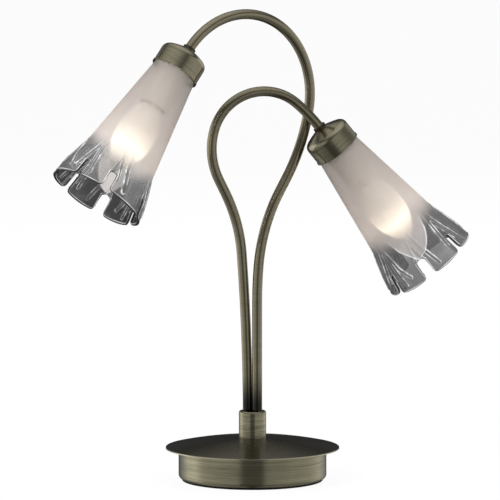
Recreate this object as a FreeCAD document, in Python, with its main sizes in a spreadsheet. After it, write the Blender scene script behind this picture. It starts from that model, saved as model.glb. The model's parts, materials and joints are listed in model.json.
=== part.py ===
import FreeCAD
import Part
import Sketcher
import math
import os
from types import SimpleNamespace

# Two-arm table lamp with tulip glass shades. Millimetres, +Z up, origin at the centre of the
# underside of the base pad. The viewer stands on the -Y side and +X is to the right.

SIZES = {
    # base: pad, drum, top plate
    "pad_thickness": 1.5,
    "pad_radius": 70.5,
    "drum_wall": 1.0,
    "drum_corner": 4.5,
    "floor_opening": 50.0,
    "rim_radius": 87.0,
    "rim_height": 32.1,
    "dome_rise": 9.9,
    "plate_thickness": 1.0,
    "seat_gap": 0.1,
    # base: weight, cover and what is fixed inside
    "weight_radius": 68.0,
    "weight_gap": 5.15,
    "weight_top": 20.0,
    "pocket_radius": 40.0,
    "pocket_roof": 14.0,
    "stem_hole_radius": 12.0,
    "cover_gap": 0.3,
    "cover_screw_circle": 44.8,
    "drum_screw_circle": 58.0,
    "base_screw_radius": 2.0,
    "base_screw_head": 3.5,
    "base_screw_length": 8.0,
    "screw_gap": 0.1,
    "cut_over": 1.0,
    "inlet_height": 8.3,
    "inlet_radius": 3.2,
    "grommet_radius": 5.0,
    "grommet_flange": 6.6,
    "grommet_lip": 1.5,
    "strip_length": 22.0,
    "strip_width": 15.0,
    "strip_height": 9.5,
    "terminal_screw_radius": 1.6,
    "terminal_screw_head": 2.6,
    "terminal_screw_length": 4.0,
    "terminal_head_height": 1.2,
    "earth_place": 28.0,
    "earth_tag_radius": 4.5,
    "earth_tag_thickness": 0.8,
    # stems and arms
    "tube_radius": 5.0,
    "tube_wall": 1.0,
    "flex_radius": 2.5,
    "stem_end": 16.0,
    "stem_offset_x": 4.65,
    "stem_offset_y": 2.6,
    "collar_radius": 13.7,
    "collar_top": 70.0,
    "collar_edge": 2.0,
    "collar_gap": 0.15,
    "grub_height": 52.0,
    "grub_radius": 2.0,
    "clamp_length": 37.0,
    "clamp_width": 24.0,
    "clamp_split": 0.4,
    "clamp_bore_gap": 0.05,
    "clamp_screw_place": 14.2,
    "clamp_screw_height": 35.0,
    "clamp_screw_radius": 2.0,
    "clamp_screw_head": 3.5,
    "clamp_head_height": 2.4,
    "mount_screw_x": 14.5,
    "mount_screw_y": 6.2,
    "mount_screw_depth": 9.0,
    "mount_head_height": 1.5,
    # tall arm, in its own upright plane
    "tall_azimuth": 36.5,
    "tall_straight_top": 180.0,
    "tall_lean_radius": 370.0,
    "tall_lean_turn": 5.5,
    "tall_out_radius": 162.0,
    "tall_out_turn": 28.4,
    "tall_run": 13.6,
    "tall_back_radius": 187.0,
    "tall_back_turn": 22.5,
    "tall_arch_radius": 84.5,
    "tall_tail": 1.1,
    # short arm, in its own upright plane
    "short_azimuth": 12.0,
    "short_straight_top": 58.0,
    "short_lean_radius": 2323.0,
    "short_lean_turn": 4.2,
    "short_out_radius": 167.0,
    "short_out_turn": 21.8,
    "short_run": 16.0,
    "short_side_radius": 70.3,
    "short_side_turn": 41.3,
    "short_arch_radius": 51.8,
    "short_arch_turn": 115.3,
    "short_end_radius": 179.6,
    "short_tail": 3.8,
    "head_tilt": 39.0,
    # head: lock nut, cap, lampholder
    "nut_radius": 6.6,
    "nut_height": 3.0,
    "thread_gap": 0.05,
    "cap_radius": 24.25,
    "cap_wall": 0.8,
    "cap_depth": 27.5,
    "cap_crown": 7.0,
    "cap_crown_radius": 120.0,
    "cap_shoulder_place": 20.5,
    "cap_shoulder_drop": 5.2,
    "cap_side_top": 10.2,
    "cap_shoulder_radius": 6.2,
    "cap_bead": 0.65,
    "cap_bead_height": 1.4,
    "tube_depth": 10.5,
    "holder_radius": 15.0,
    "holder_wall": 1.6,
    "holder_roof": 6.0,
    "holder_flange": 17.0,
    "holder_flange_top": 15.5,
    "holder_flange_bottom": 17.8,
    "barrel_radius": 13.8,
    "barrel_bottom": 69.5,
    "block_top": 35.5,
    "block_bottom": 43.5,
    "shell_inner": 7.3,
    "shell_wall": 0.4,
    "shell_bottom": 65.5,
    "contact_radius": 3.0,
    "contact_thickness": 2.0,
    "contact_pin_radius": 1.4,
    "contact_pin_length": 6.0,
    "slide_gap": 0.3,
    # head: shade ring and glass
    "ring_radius": 18.2,
    "ring_height": 5.0,
    "glass_wall": 2.6,
    "glass_hole": 14.6,
    "glass_neck_edge": 1.6,
    "cone_start_radius": 23.0,
    "cone_radius": 38.5,
    "cone_place": 108.0,
    "flare_radius": 50.0,
    "flare_place": 152.0,
    "flare_bend": 260.0,
    "petal_count": 7.0,
    "notch_width": 10.0,
    "notch_depth": 18.0,
    "tall_shade_turn": 30.6,
    "short_shade_turn": 0.6,
    # lamp bulb, small screw cap, candle shape
    "bulb_cap_radius": 6.9,
    "bulb_cap_wall": 0.5,
    "bulb_cap_length": 20.0,
    "bulb_contact_radius": 2.6,
    "bulb_insulator_radius": 6.0,
    "bulb_insulator_height": 2.5,
    "bulb_neck_radius": 8.0,
    "bulb_radius": 17.5,
    "bulb_wide_place": 60.0,
    "bulb_length": 100.0,
    "bulb_lower_bend": 62.0,
    "bulb_upper_bend": 55.0,
    "bulb_tip_radius": 1.5,
    "bulb_wall": 0.8,
    "mount_post_radius": 0.5,
    "mount_post_gap": 7.0,
    "mount_post_top": 62.0,
    "filament_radius": 0.4,
    "glass_mount_start": 17.0,
    "glass_mount_top": 30.0,
}


class Size:
    """A length with the expression that gives it, so that both follow the sheet."""

    def __init__(self, value, text):
        self.value = float(value)
        self.text = text

    def _with(self, other, sign, value):
        return Size(value, "(%s %s %s)" % (self.text, sign, size_of(other).text))

    def __add__(self, other):
        return self._with(other, "+", self.value + size_of(other).value)

    def __sub__(self, other):
        return self._with(other, "-", self.value - size_of(other).value)

    def __mul__(self, other):
        return self._with(other, "*", self.value * size_of(other).value)

    def __truediv__(self, other):
        return self._with(other, "/", self.value / size_of(other).value)

    def __neg__(self):
        return Size(-self.value, "(0 - %s)" % self.text)

    def __radd__(self, other):
        return size_of(other) + self

    def __rsub__(self, other):
        return size_of(other) - self


def size_of(item):
    if isinstance(item, Size):
        return item
    return Size(item, "%.6f" % item)


def root(item):
    return Size(math.sqrt(item.value), "sqrt(%s)" % item.text)


def make_sheet(document):
    """Write the driving dimensions and return them as named Size values."""
    sheet = document.addObject("Spreadsheet::Sheet", "Sizes")
    for row, (name, value) in enumerate(SIZES.items(), start=1):
        sheet.set("A%d" % row, name)
        sheet.set("B%d" % row, "%g" % value)
        sheet.setAlias("B%d" % row, name)
    document.recompute()
    return SimpleNamespace(**{name: Size(value, "Sizes." + name) for name, value in SIZES.items()})


doc = FreeCAD.newDocument("tulip_shade_table_lamp")
d = make_sheet(doc)
ZERO = size_of(0.0)
Z_AXIS = FreeCAD.Vector(0, 0, 1)
subparts = []


# ---------------------------------------------------------------- construction helpers

def origin_plane(body, role):
    return next(item for item in body.Origin.OriginFeatures if item.Role == role)


def corner(x, y, radius=None, ccw=True):
    """One corner of an outline; with a radius, the edge that arrives there is an arc."""
    return SimpleNamespace(x=size_of(x), y=size_of(y), radius=radius, ccw=ccw)


def arc_geometry(start, end):
    """The smaller arc from start to end, counter-clockwise or clockwise."""
    dx = end.x.value - start.x.value
    dy = end.y.value - start.y.value
    chord = math.hypot(dx, dy)
    radius = end.radius.value
    side = 1.0 if end.ccw else -1.0
    reach = side * math.sqrt(max(radius ** 2 - chord ** 2 / 4.0, 0.0)) / chord
    centre_x = (start.x.value + end.x.value) / 2.0 - dy * reach
    centre_y = (start.y.value + end.y.value) / 2.0 + dx * reach
    first = math.atan2(start.y.value - centre_y, start.x.value - centre_x)
    last = math.atan2(end.y.value - centre_y, end.x.value - centre_x)
    if not end.ccw:
        first, last = last, first
    if last < first:
        last += 2.0 * math.pi
    circle = Part.Circle(FreeCAD.Vector(centre_x, centre_y, 0), Z_AXIS, radius)
    return Part.ArcOfCircle(circle, first, last)


def bind(sketch, kind, *items):
    """Add one dimension whose last item is a Size, and tie it to the sheet."""
    size = items[-1]
    index = sketch.addConstraint(Sketcher.Constraint(kind, *items[:-1], size.value))
    sketch.setExpression("Constraints[%d]" % index, size.text)


def place_corner(sketch, edge, point, item):
    if abs(item.x.value) < 1e-9:
        sketch.addConstraint(Sketcher.Constraint("PointOnObject", edge, point, -2))
    else:
        bind(sketch, "DistanceX", -1, 1, edge, point, item.x)
    if abs(item.y.value) < 1e-9:
        sketch.addConstraint(Sketcher.Constraint("PointOnObject", edge, point, -1))
    else:
        bind(sketch, "DistanceY", -1, 1, edge, point, item.y)


def draw_loop(sketch, corners):
    """Draw a closed outline through the corners and constrain all of it."""
    edges = []
    for number, start in enumerate(corners):
        end = corners[(number + 1) % len(corners)]
        if end.radius is None:
            tail = FreeCAD.Vector(start.x.value, start.y.value, 0)
            head = FreeCAD.Vector(end.x.value, end.y.value, 0)
            edges.append((sketch.addGeometry(Part.LineSegment(tail, head), False), 1, 2))
        elif end.ccw:
            edges.append((sketch.addGeometry(arc_geometry(start, end), False), 1, 2))
        else:
            edges.append((sketch.addGeometry(arc_geometry(start, end), False), 2, 1))
    for number, (edge, first, last) in enumerate(edges):
        following, join, _ = edges[(number + 1) % len(edges)]
        sketch.addConstraint(Sketcher.Constraint("Coincident", edge, last, following, join))
        place_corner(sketch, edge, first, corners[number])
        end = corners[(number + 1) % len(corners)]
        if end.radius is not None:
            bind(sketch, "Radius", edge, end.radius)


def draw_circle(sketch, x, y, radius):
    centre = FreeCAD.Vector(x.value, y.value, 0)
    edge = sketch.addGeometry(Part.Circle(centre, Z_AXIS, radius.value), False)
    place_corner(sketch, edge, 3, corner(x, y))
    bind(sketch, "Radius", edge, radius)


def new_sketch(body, role, name):
    sketch = body.newObject("Sketcher::SketchObject", name)
    sketch.AttachmentSupport = (origin_plane(body, role), [""])
    sketch.MapMode = "FlatFace"
    return sketch


def new_body(label):
    body = doc.addObject("PartDesign::Body", label)
    body.Label = label
    return body


def turned(label, corners):
    """A piece turned about its own Z axis from an outline of radius and height."""
    body = new_body(label)
    sketch = new_sketch(body, "XZ_Plane", label + "_outline")
    draw_loop(sketch, corners)
    turn = body.newObject("PartDesign::Revolution", label + "_turn")
    turn.Profile = sketch
    turn.ReferenceAxis = (sketch, ["V_Axis"])
    turn.Angle = 360.0
    sketch.Visibility = False
    doc.recompute()
    return body


def washer_outline(inner, outer, low, high):
    return [corner(inner, low), corner(outer, low), corner(outer, high), corner(inner, high)]


def rod_outline(outer, low, high):
    return washer_outline(ZERO, outer, low, high)


def cylinder(name, radius, height, base=(ZERO, ZERO, ZERO), axis=(0, 0, 1)):
    """A plain rod, used as a tool or as part of a piece."""
    rod = doc.addObject("Part::Cylinder", name)
    rod.setExpression("Radius", radius.text)
    rod.setExpression("Height", height.text)
    rod.Placement = FreeCAD.Placement(FreeCAD.Vector(0, 0, 0),
                                      FreeCAD.Rotation(Z_AXIS, FreeCAD.Vector(*axis)))
    for letter, size in zip("xyz", base):
        rod.setExpression("Placement.Base." + letter, size.text)
    return rod


def block(name, sizes, corner_place):
    solid = doc.addObject("Part::Box", name)
    for side, size in zip(("Length", "Width", "Height"), sizes):
        solid.setExpression(side, size.text)
    for letter, size in zip("xyz", corner_place):
        solid.setExpression("Placement.Base." + letter, size.text)
    return solid


def join(name, pieces):
    fused = doc.addObject("Part::MultiFuse", name)
    fused.Shapes = pieces
    return fused


def cut(label, base, tools):
    """Take the tools away from the base."""
    result = doc.addObject("Part::Cut", label)
    result.Label = label
    result.Base = base
    result.Tool = tools[0] if len(tools) == 1 else join(label + "_tools", tools)
    doc.recompute()
    return result


def group(label, pieces):
    """Identical fasteners, kept as separate solids in one sub-part."""
    result = doc.addObject("Part::Compound", label)
    result.Label = label
    result.Links = pieces
    doc.recompute()
    return result


def keep(item, place=None):
    """Record a finished sub-part and put it where it belongs."""
    if place is not None:
        item.Placement = place
    subparts.append(item)
    return item


def at(x=0.0, y=0.0, z=0.0, axis=(0, 0, 1)):
    return FreeCAD.Placement(FreeCAD.Vector(x, y, z), FreeCAD.Rotation(Z_AXIS, FreeCAD.Vector(*axis)))


def screw_outline(radius, length, head_radius, head_height):
    """A screw with its head at the bottom and its shank pointing up."""
    return [corner(0, 0), corner(head_radius, 0), corner(head_radius, head_height),
            corner(radius, head_height), corner(radius, head_height + length),
            corner(0, head_height + length)]


def screw_set(label, radius, length, head_radius, head_height, places):
    screws = []
    for number, place in enumerate(places, start=1):
        screw = turned("%s_%d" % (label, number), screw_outline(radius, length, head_radius, head_height))
        screw.Placement = place
        screws.append(screw)
    return keep(group(label, screws))


# ---------------------------------------------------------------- values shared by pieces

floor_top = d.pad_thickness + d.drum_wall
drum_radius = d.weight_radius + d.weight_gap + d.drum_wall
dome_radius = (d.rim_radius * d.rim_radius + d.dome_rise * d.dome_rise) / (d.dome_rise * 2)
dome_apex = d.rim_height + d.plate_thickness + d.dome_rise
dome_centre = dome_apex - dome_radius
under_radius = dome_radius - d.plate_thickness


def dome_top(radius):
    return dome_centre + root(dome_radius * dome_radius - radius * radius)


def dome_under(radius):
    return dome_centre + root(under_radius * under_radius - radius * radius)


stem_line = math.degrees(math.atan2(-d.stem_offset_y.value, d.stem_offset_x.value))
stem_hub = FreeCAD.Placement(FreeCAD.Vector(0, 0, 0), FreeCAD.Rotation(Z_AXIS, stem_line))
stem_span = root(d.stem_offset_x * d.stem_offset_x + d.stem_offset_y * d.stem_offset_y)
stem_bore = d.tube_radius + d.collar_gap
plate_hole = stem_span + stem_bore
clamp_reach = root(d.clamp_length * d.clamp_length + d.clamp_width * d.clamp_width) / 2
clamp_top = dome_under(clamp_reach) - d.seat_gap
strip_top = floor_top + d.strip_height


def around(radius, angles):
    """Places on a circle, as pairs of sizes."""
    return [(radius * math.cos(math.radians(angle)), radius * math.sin(math.radians(angle)))
            for angle in angles]


COVER_ANGLES = (30.0, 150.0, 270.0)
DRUM_ANGLES = (0.0, 120.0, 240.0)
cover_spots = around(d.cover_screw_circle, COVER_ANGLES)
drum_spots = around(d.drum_screw_circle, DRUM_ANGLES)
mount_spots = [(d.mount_screw_x, -d.mount_screw_y), (-d.mount_screw_x, d.mount_screw_y)]


def in_hub(spot):
    """A place given along and across the line of the two stems, in the lamp's own frame."""
    cos_line = math.cos(math.radians(stem_line))
    sin_line = math.sin(math.radians(stem_line))
    across, along = spot[1], spot[0]
    return along * cos_line - across * sin_line, along * sin_line + across * cos_line


def holes(name, radius, height, spots, low):
    return [cylinder("%s_%d" % (name, number), radius, height, (x, y, low))
            for number, (x, y) in enumerate(spots, start=1)]


def upright(spots, low):
    return [at(x.value, y.value, low.value) for x, y in spots]


# ---------------------------------------------------------------- base

def make_pad():
    keep(turned("base_felt_pad", rod_outline(d.pad_radius, ZERO, d.pad_thickness)))


def make_drum():
    """Spun cup with a rounded lower edge and an open floor; the cable inlet is at its rear."""
    outer = drum_radius
    inner = outer - d.drum_wall
    bend = outer - d.drum_corner
    low = d.pad_thickness
    top = dome_under(outer) - d.seat_gap
    cup = turned("drum_cup", [
        corner(d.floor_opening, low),
        corner(bend, low),
        corner(outer, low + d.drum_corner, d.drum_corner),
        corner(outer, top),
        corner(inner, top),
        corner(inner, low + d.drum_corner),
        corner(bend, floor_top, d.drum_corner - d.drum_wall, ccw=False),
        corner(d.floor_opening, floor_top)])
    inlet = cylinder("drum_inlet", d.grommet_radius + d.screw_gap, d.drum_corner + d.cut_over,
                     (ZERO, bend, d.inlet_height), (0, 1, 0))
    seats = holes("drum_screw_seat", d.base_screw_head + d.screw_gap, d.drum_wall + d.cut_over * 2,
                  drum_spots, low - d.cut_over)
    keep(cut("base_drum", cup, [inlet] + seats))


def make_top_plate():
    """Shallow spun dome that overhangs the drum, open in the middle for the stems."""
    keep(turned("base_top_plate", [
        corner(plate_hole, dome_under(plate_hole)),
        corner(d.rim_radius, dome_under(d.rim_radius), under_radius, ccw=False),
        corner(d.rim_radius, dome_top(d.rim_radius)),
        corner(plate_hole, dome_top(plate_hole), dome_radius)]))


def make_weight():
    """Cast disc with a pocket underneath for the wiring and a channel for the mains lead."""
    disc = turned("weight_casting", [
        corner(d.pocket_radius, floor_top),
        corner(d.weight_radius, floor_top),
        corner(d.weight_radius, d.weight_top),
        corner(d.stem_hole_radius, d.weight_top),
        corner(d.stem_hole_radius, d.pocket_roof),
        corner(d.pocket_radius, d.pocket_roof)])
    channel = cylinder("weight_channel", d.grommet_radius + d.screw_gap, d.weight_radius,
                       (ZERO, d.pocket_radius - d.cut_over, d.inlet_height), (0, 1, 0))
    shank = d.base_screw_radius + d.screw_gap
    screw_holes = holes("weight_screw_hole", shank, d.base_screw_length + d.screw_gap,
                        cover_spots + drum_spots, floor_top)
    mount_holes = holes("weight_mount_hole", d.clamp_screw_radius + d.screw_gap, d.weight_top,
                        [in_hub(spot) for spot in mount_spots], floor_top)
    earth_hole = cylinder("weight_earth_hole", d.terminal_screw_radius + d.screw_gap,
                          d.terminal_screw_length + d.screw_gap, (-d.earth_place, ZERO, d.pocket_roof))
    keep(cut("base_weight", disc, [channel, earth_hole] + screw_holes + mount_holes))


def make_cover():
    """Flat disc let into the drum's floor, under the wiring pocket."""
    disc = turned("cover_disc", rod_outline(d.floor_opening - d.cover_gap, d.pad_thickness, floor_top))
    seats = holes("cover_screw_seat", d.base_screw_head + d.screw_gap, d.drum_wall + d.cut_over * 2,
                  cover_spots, d.pad_thickness - d.cut_over)
    keep(cut("base_cover", disc, seats))
    sizes = (d.base_screw_radius, d.base_screw_length, d.base_screw_head, d.drum_wall)
    screw_set("cover_screws", *sizes, upright(cover_spots, d.pad_thickness))
    screw_set("drum_screws", *sizes, upright(drum_spots, d.pad_thickness))


def make_inlet():
    """Rubber grommet in the drum's rear wall, where the mains lead enters."""
    rear = drum_radius + d.grommet_lip
    length = rear - d.weight_radius - d.seat_gap
    grommet = turned("cable_grommet", [
        corner(d.inlet_radius, ZERO),
        corner(d.grommet_flange, ZERO),
        corner(d.grommet_flange, d.grommet_lip),
        corner(d.grommet_radius, d.grommet_lip),
        corner(d.grommet_radius, length),
        corner(d.inlet_radius, length)])
    keep(grommet, at(0, rear.value, d.inlet_height.value, (0, -1, 0)))


def make_terminals():
    """Terminal strip under the stems, its screws, and the earth tag on the weight."""
    strip = block("strip_block", (d.strip_length, d.strip_width, d.strip_height),
                  (-d.strip_length / 2, -d.strip_width / 2, floor_top))
    face = -d.strip_width / 2
    middle = floor_top + d.strip_height / 2
    drilled = [cylinder("strip_hole_%d" % number, d.terminal_screw_radius + d.screw_gap,
                        d.terminal_screw_length + d.screw_gap, (stem_span * side, face, middle), (0, 1, 0))
               for number, side in enumerate((-1, 1), start=1)]
    keep(cut("terminal_strip", strip, drilled), stem_hub)
    front = face - d.terminal_head_height
    sizes = (d.terminal_screw_radius, d.terminal_screw_length, d.terminal_screw_head, d.terminal_head_height)
    places = [stem_hub.multiply(at(side * stem_span.value, front.value, middle.value, (0, 1, 0)))
              for side in (-1, 1)]
    screw_set("terminal_screws", *sizes, places)
    tag_low = d.pocket_roof - d.earth_tag_thickness
    keep(turned("earth_tag", washer_outline(d.terminal_screw_radius + d.screw_gap, d.earth_tag_radius,
                                            ZERO, d.earth_tag_thickness)),
         at(-d.earth_place.value, 0, tag_low.value))
    earth = turned("earth_screw", screw_outline(d.terminal_screw_radius, d.terminal_screw_length,
                                                d.terminal_screw_head, d.terminal_head_height))
    keep(earth, at(-d.earth_place.value, 0, (tag_low - d.terminal_head_height).value))


def make_clamp():
    """Split block that grips both stems, screwed down on the weight."""
    half_width = (d.clamp_width - d.clamp_split) / 2
    height = clamp_top - d.weight_top
    bore = d.tube_radius + d.clamp_bore_gap
    shank = d.clamp_screw_radius + d.screw_gap
    lows = {"front": -d.clamp_width / 2, "rear": d.clamp_split / 2}
    for number, (side, low) in enumerate(lows.items()):
        half = block("clamp_block_" + side, (d.clamp_length, half_width, height),
                     (-d.clamp_length / 2, low, d.weight_top))
        tools = holes("clamp_bore_" + side, bore, height + d.cut_over * 2,
                      [(stem_span, ZERO), (-stem_span, ZERO)], d.weight_top - d.cut_over)
        tools += [cylinder("clamp_hole_%s_%d" % (side, place), shank, d.clamp_width + d.cut_over * 2,
                           (d.clamp_screw_place * place, -d.clamp_width / 2 - d.cut_over,
                            d.clamp_screw_height), (0, 1, 0)) for place in (-1, 1)]
        tools += holes("clamp_mount_hole_" + side, shank, d.mount_screw_depth + d.screw_gap,
                       [mount_spots[number]], d.weight_top)
        keep(cut("stem_clamp_" + side, half, tools), stem_hub)
    front = (-d.clamp_width / 2 - d.clamp_head_height).value
    places = [stem_hub.multiply(at(side * d.clamp_screw_place.value, front,
                                   d.clamp_screw_height.value, (0, 1, 0))) for side in (-1, 1)]
    screw_set("clamp_screws", d.clamp_screw_radius, d.clamp_width, d.clamp_screw_head,
              d.clamp_head_height, places)
    reach = d.weight_top - d.pocket_roof + d.mount_screw_depth
    screw_set("clamp_mount_screws", d.clamp_screw_radius, reach, d.clamp_screw_head, d.mount_head_height,
              upright([in_hub(spot) for spot in mount_spots], d.pocket_roof - d.mount_head_height))


def make_collar():
    """Turned collar over both stems, with a grub screw behind for each."""
    low = dome_top(plate_hole) + d.seat_gap / 2
    edge = d.collar_edge
    ring = turned("collar_ring", [
        corner(0, low),
        corner(d.collar_radius, low),
        corner(d.collar_radius, d.collar_top - edge),
        corner(d.collar_radius - edge, d.collar_top, edge),
        corner(0, d.collar_top)])
    tall = d.collar_top - low + d.cut_over * 2
    tools = holes("collar_bore", stem_bore, tall, [(stem_span, ZERO), (-stem_span, ZERO)], low - d.cut_over)
    tools.append(block("collar_slot", (stem_span * 2, stem_bore * 2, tall),
                       (-stem_span, -stem_bore, low - d.cut_over)))
    tools += [cylinder("collar_grub_hole_%d" % number, d.grub_radius + d.clamp_bore_gap, d.collar_radius,
                       (stem_span * side, ZERO, d.grub_height), (0, 1, 0))
              for number, side in enumerate((-1, 1), start=1)]
    keep(cut("stem_collar", ring, tools), stem_hub)
    start = d.tube_radius + d.clamp_bore_gap
    flush = root(d.collar_radius * d.collar_radius - plate_hole * plate_hole)
    screws = []
    for number, side in enumerate((-1, 1), start=1):
        grub = turned("collar_grub_%d" % number, rod_outline(d.grub_radius, ZERO, flush + edge - start))
        grub.Placement = stem_hub.multiply(at(side * stem_span.value, start.value,
                                              d.grub_height.value, (0, 1, 0)))
        screws.append(grub)
    keep(group("collar_grub_screws", screws))


# ---------------------------------------------------------------- arms

def straight(length):
    return SimpleNamespace(length=length, radius=None, turn=None, right=True)


def bend(radius, turn, right):
    return SimpleNamespace(length=None, radius=radius, turn=size_of(turn), right=right)


def tall_route(low, tail):
    """Up, out to the right, and over to the left in one wide arch."""
    arch_turn = 180 - d.head_tilt + d.tall_lean_turn + d.tall_out_turn - d.tall_back_turn
    return [straight(d.tall_straight_top - low),
            bend(d.tall_lean_radius, d.tall_lean_turn, True),
            bend(d.tall_out_radius, d.tall_out_turn, True),
            straight(d.tall_run),
            bend(d.tall_back_radius, d.tall_back_turn, False),
            bend(d.tall_arch_radius, arch_turn, False),
            straight(d.tall_tail + tail)]


def short_route(low, tail):
    """Up, out to the left, and over to the right in a narrow crook."""
    turned_left = d.short_lean_turn + d.short_out_turn
    turned_right = d.short_side_turn + d.short_arch_turn
    end_turn = 180 - d.head_tilt + turned_left - turned_right
    return [straight(d.short_straight_top - low),
            bend(d.short_lean_radius, d.short_lean_turn, False),
            bend(d.short_out_radius, d.short_out_turn, False),
            straight(d.short_run),
            bend(d.short_side_radius, d.short_side_turn, True),
            bend(d.short_arch_radius, d.short_arch_turn, True),
            bend(d.short_end_radius, end_turn, True),
            straight(d.short_tail + tail)]


def walk(route):
    """The points where the route's pieces meet, the arcs' centres, and its whole length."""
    x, z, heading, length = 0.0, 0.0, 0.0, 0.0
    steps = []
    for piece in route:
        start = (x, z, heading)
        centre = None
        if piece.radius is None:
            x += piece.length.value * math.sin(heading)
            z += piece.length.value * math.cos(heading)
            length += piece.length.value
        else:
            side = 1.0 if piece.right else -1.0
            reach = side * piece.radius.value
            turn = math.radians(piece.turn.value)
            centre = (x + reach * math.cos(heading), z - reach * math.sin(heading))
            heading += side * turn
            x = centre[0] - reach * math.cos(heading)
            z = centre[1] + reach * math.sin(heading)
            length += piece.radius.value * turn
        steps.append(SimpleNamespace(start=start, end=(x, z, heading), centre=centre, piece=piece))
    return steps, length


def draw_route(sketch, steps):
    """Straight runs joined by tangent arcs, tied to the sheet by length, radius and turn."""
    joints = []
    for step in steps:
        start = FreeCAD.Vector(step.start[0], step.start[1], 0)
        end = FreeCAD.Vector(step.end[0], step.end[1], 0)
        if step.centre is None:
            edge = sketch.addGeometry(Part.LineSegment(start, end), False)
            joints.append((edge, 1, 2))
            continue
        centre = FreeCAD.Vector(step.centre[0], step.centre[1], 0)
        tail, head = (end, start) if step.piece.right else (start, end)
        first = math.atan2(tail.y - centre.y, tail.x - centre.x)
        last = math.atan2(head.y - centre.y, head.x - centre.x)
        if last < first:
            last += 2.0 * math.pi
        circle = Part.Circle(centre, Z_AXIS, step.piece.radius.value)
        edge = sketch.addGeometry(Part.ArcOfCircle(circle, first, last), False)
        joints.append((edge, 2, 1) if step.piece.right else (edge, 1, 2))
    sketch.addConstraint(Sketcher.Constraint("Coincident", joints[0][0], joints[0][1], -1, 1))
    sketch.addConstraint(Sketcher.Constraint("Vertical", joints[0][0]))
    for before, after in zip(joints, joints[1:]):
        sketch.addConstraint(Sketcher.Constraint("Tangent", before[0], before[2], after[0], after[1]))
    for step, (edge, _, _) in zip(steps, joints):
        if step.centre is None:
            bind(sketch, "Distance", edge, step.piece.length)
        else:
            bind(sketch, "Radius", edge, step.piece.radius)
            turn = step.piece.turn
            index = sketch.addConstraint(Sketcher.Constraint("Angle", edge, math.radians(turn.value)))
            sketch.setExpression("Constraints[%d]" % index, "%s * 1 deg" % turn.text)


def swept(label, route, outer, inner=None):
    """A tube or a flexible lead along a route in its own upright plane."""
    steps, length = walk(route)
    body = new_body(label)
    section = new_sketch(body, "XY_Plane", label + "_section")
    for radius in (outer, inner):
        if radius is not None:
            draw_circle(section, ZERO, ZERO, radius)
    path = new_sketch(body, "XZ_Plane", label + "_path")
    draw_route(path, steps)
    doc.recompute()
    pipe = body.newObject("PartDesign::AdditivePipe", label + "_pipe")
    pipe.Profile = section
    pipe.Spine = (path, [])
    doc.recompute()
    area = math.pi * (outer.value ** 2 - (inner.value ** 2 if inner is not None else 0.0))
    print("%s: length %.1f, volume over section times length %.4f"
          % (label, length, body.Shape.Volume / (area * length)))
    return body


ARMS = {
    "tall": SimpleNamespace(route=tall_route, azimuth=d.tall_azimuth, side=1, over=180.0,
                            shade_turn=d.tall_shade_turn),
    "short": SimpleNamespace(route=short_route, azimuth=d.short_azimuth, side=-1, over=0.0,
                             shade_turn=d.short_shade_turn),
}


def arm_place(arm, low):
    base = FreeCAD.Vector(arm.side * d.stem_offset_x.value, -arm.side * d.stem_offset_y.value, low.value)
    return FreeCAD.Placement(base, FreeCAD.Rotation(Z_AXIS, arm.azimuth.value))


def head_place(arm):
    """Where the tube meets the cap, with local Z out of the shade's mouth."""
    steps, _ = walk(arm.route(d.stem_end, ZERO))
    x, z, _ = steps[-1].end
    entry = arm_place(arm, d.stem_end).multVec(FreeCAD.Vector(x, 0, z))
    facing = FreeCAD.Rotation(Z_AXIS, arm.azimuth.value + arm.over)
    tip_over = FreeCAD.Rotation(FreeCAD.Vector(0, 1, 0), 180.0 - d.head_tilt.value)
    return FreeCAD.Placement(entry, facing.multiply(tip_over).multiply(FreeCAD.Rotation(Z_AXIS, 180)))


def make_arm(name, arm):
    tube = swept(name + "_arm_tube", arm.route(d.stem_end, d.tube_depth), d.tube_radius,
                 d.tube_radius - d.tube_wall)
    keep(tube, arm_place(arm, d.stem_end))
    flex = swept(name + "_arm_flex", arm.route(strip_top, d.block_top), d.flex_radius)
    keep(flex, arm_place(arm, strip_top))


# ---------------------------------------------------------------- heads
# Heights run from the top of the cap, where the tube enters, towards the shade's mouth.

def make_lock_nut(name, place):
    nut = turned(name + "_lock_nut", washer_outline(d.tube_radius + d.thread_gap, d.nut_radius,
                                                    ZERO, d.nut_height))
    keep(nut, place.multiply(at(0, 0, -d.nut_height.value)))


def make_cap(name, place):
    """Spun cap: crown, rounded shoulder, straight side and a beaded lower edge."""
    wall = d.cap_wall
    hole = d.tube_radius + d.collar_gap
    inner = d.cap_radius - wall
    bead_top = d.cap_depth - d.cap_bead_height
    cap = turned(name + "_shade_cap", [
        corner(hole, ZERO),
        corner(d.cap_crown, ZERO),
        corner(d.cap_shoulder_place, d.cap_shoulder_drop, d.cap_crown_radius),
        corner(d.cap_radius, d.cap_side_top, d.cap_shoulder_radius),
        corner(d.cap_radius, bead_top),
        corner(d.cap_radius + d.cap_bead, bead_top),
        corner(d.cap_radius + d.cap_bead, d.cap_depth),
        corner(inner, d.cap_depth),
        corner(inner, d.cap_side_top),
        corner(d.cap_shoulder_place - wall / 2, d.cap_shoulder_drop + wall,
               d.cap_shoulder_radius - wall, ccw=False),
        corner(d.cap_crown, wall, d.cap_crown_radius - wall, ccw=False),
        corner(hole, wall)])
    keep(cap, place)


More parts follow.
